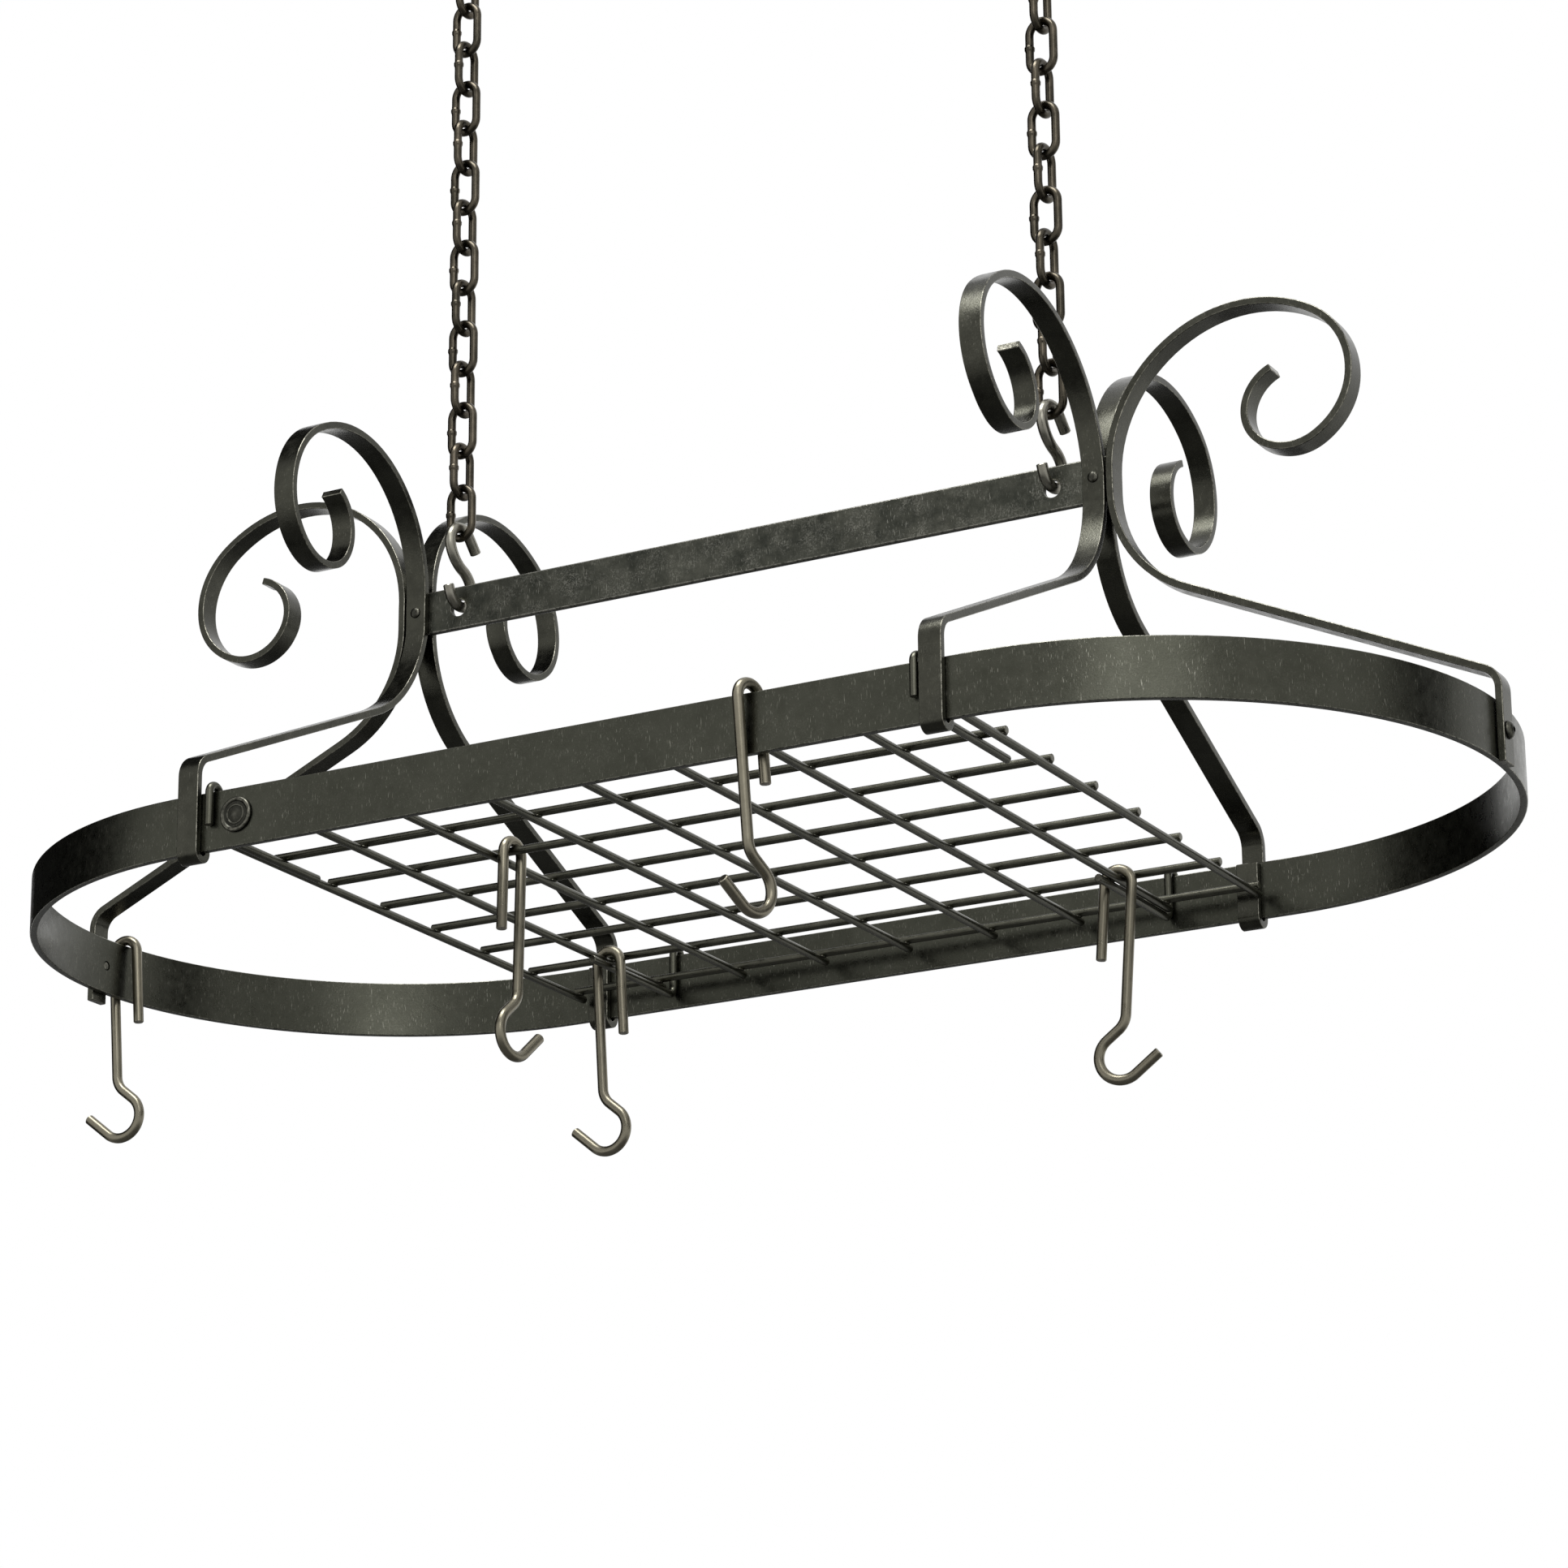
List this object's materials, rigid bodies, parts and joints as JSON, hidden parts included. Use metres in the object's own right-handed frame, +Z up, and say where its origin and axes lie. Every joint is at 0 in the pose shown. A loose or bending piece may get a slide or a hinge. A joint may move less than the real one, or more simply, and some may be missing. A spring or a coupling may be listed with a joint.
{
  "type": "hanging pot rack",
  "caption": "Oval steel band with a wire shelf and loose pot hooks, hung from a crossbar by scrolled straps and from the ceiling by two chains with S-hooks.",
  "frame": {"origin": "in the ceiling plane, midway between the two ceiling hooks", "axes": "+X along the long side of the band, +Y to the back, +Z up"},
  "size_m": [0.8784, 0.4219, 0.757],
  "materials": {
    "band_steel": "dark oiled and hammered, satin",
    "strap_steel": "dark oiled flat bar with brighter worn edges",
    "wire_steel": "dark grey-brown drawn wire",
    "hook_steel": "warm grey brushed rod under clear lacquer",
    "chain_steel": "dark bronzed steel, semi-gloss",
    "fastener_steel": "black oiled heads"
  },
  "bodies": {
    "ceiling_hooks": {"ceiling_hook_left": "chain_steel", "ceiling_hook_right": "chain_steel"},
    "top_link_left": {"link_left_14": "chain_steel"},
    "top_link_right": {"link_right_14": "chain_steel"},
    "chain_left": {"link_left_01": "chain_steel", "link_left_02": "chain_steel", "link_left_03": "chain_steel", "link_left_04": "chain_steel", "link_left_05": "chain_steel", "link_left_06": "chain_steel", "link_left_07": "chain_steel", "link_left_08": "chain_steel", "link_left_09": "chain_steel", "link_left_10": "chain_steel", "link_left_11": "chain_steel", "link_left_12": "chain_steel", "link_left_13": "chain_steel", "s_hook_left": "chain_steel"},
    "chain_right": {"link_right_01": "chain_steel", "link_right_02": "chain_steel", "link_right_03": "chain_steel", "link_right_04": "chain_steel", "link_right_05": "chain_steel", "link_right_06": "chain_steel", "link_right_07": "chain_steel", "link_right_08": "chain_steel", "link_right_09": "chain_steel", "link_right_10": "chain_steel", "link_right_11": "chain_steel", "link_right_12": "chain_steel", "link_right_13": "chain_steel", "s_hook_right": "chain_steel"},
    "rack": {"ring": "band_steel", "badge": "fastener_steel", "strap_front_left": "strap_steel", "strap_front_right": "strap_steel", "strap_back_left": "strap_steel", "strap_back_right": "strap_steel", "strap_end_left": "strap_steel", "strap_end_right": "strap_steel", "crossbar": "band_steel", "rivet_left": "fastener_steel", "rivet_right": "fastener_steel", "end_screw_left": "fastener_steel", "end_screw_right": "fastener_steel"},
    "shelf": {"grid": "wire_steel", "grid_hook_front_left": "wire_steel", "grid_hook_front_right": "wire_steel", "grid_hook_back_left": "wire_steel", "grid_hook_back_right": "wire_steel"},
    "hook_1": {"pot_hook_1": "hook_steel"},
    "hook_2": {"pot_hook_2": "hook_steel"},
    "hook_3": {"pot_hook_3": "hook_steel"},
    "hook_4": {"pot_hook_4": "hook_steel"},
    "hook_5": {"pot_hook_5": "hook_steel"}
  },
  "joints": [
    {"name": "swing_left", "type": "hinge", "parent": "ceiling_hooks", "child": "top_link_left", "pos_m": [-0.1848, 0, -0.03583], "axis": [1, 0, 0], "range_deg": [-10, 10]},
    {"name": "swing_right", "type": "hinge", "parent": "ceiling_hooks", "child": "top_link_right", "pos_m": [0.1848, 0, -0.03583], "axis": [1, 0, 0], "range_deg": [-10, 10]},
    {"name": "sway_left", "type": "hinge", "parent": "top_link_left", "child": "chain_left", "pos_m": [-0.1848, 0, -0.06028], "axis": [0, 1, 0], "range_deg": [-10, 10]},
    {"name": "sway_right", "type": "hinge", "parent": "top_link_right", "child": "chain_right", "pos_m": [0.1848, 0, -0.06028], "axis": [0, 1, 0], "range_deg": [-10, 10]},
    {"name": "level_rack", "type": "hinge", "parent": "chain_left", "child": "rack", "pos_m": [-0.1848, 0, -0.42768], "axis": [0, 1, 0], "range_deg": [-10, 10]},
    {"name": "lift_shelf", "type": "slide", "parent": "rack", "child": "shelf", "axis": [0, 0, 1], "range_m": [0, 0.025]},
    {"name": "turn_hook_1", "type": "hinge", "parent": "rack", "child": "hook_1", "pos_m": [-0.2268, 0, -0.61913], "axis": [0, 0, 1], "range_deg": [-68, 2]},
    {"name": "rock_hook_2", "type": "hinge", "parent": "shelf", "child": "hook_2", "pos_m": [-0.1008, -0.07755, -0.60463], "axis": [1, 0, 0], "range_deg": [-20, 20]},
    {"name": "slide_hook_3", "type": "slide", "parent": "rack", "child": "hook_3", "axis": [1, 0, 0], "range_m": [-0.28, 0.07]},
    {"name": "rock_hook_4", "type": "hinge", "parent": "shelf", "child": "hook_4", "pos_m": [-0.1608, 0.12135, -0.60863], "axis": [0, 1, 0], "range_deg": [-20, 3]},
    {"name": "rock_hook_5", "type": "hinge", "parent": "shelf", "child": "hook_5", "pos_m": [0.1608, 0.12255, -0.60863], "axis": [0, 1, 0], "range_deg": [-3, 20]}
  ],
  "couplings": [
    {"joint": "swing_right", "follows": "swing_left", "ratio": 1},
    {"joint": "sway_right", "follows": "sway_left", "ratio": 1},
    {"joint": "level_rack", "follows": "sway_left", "ratio": -1}
  ]
}
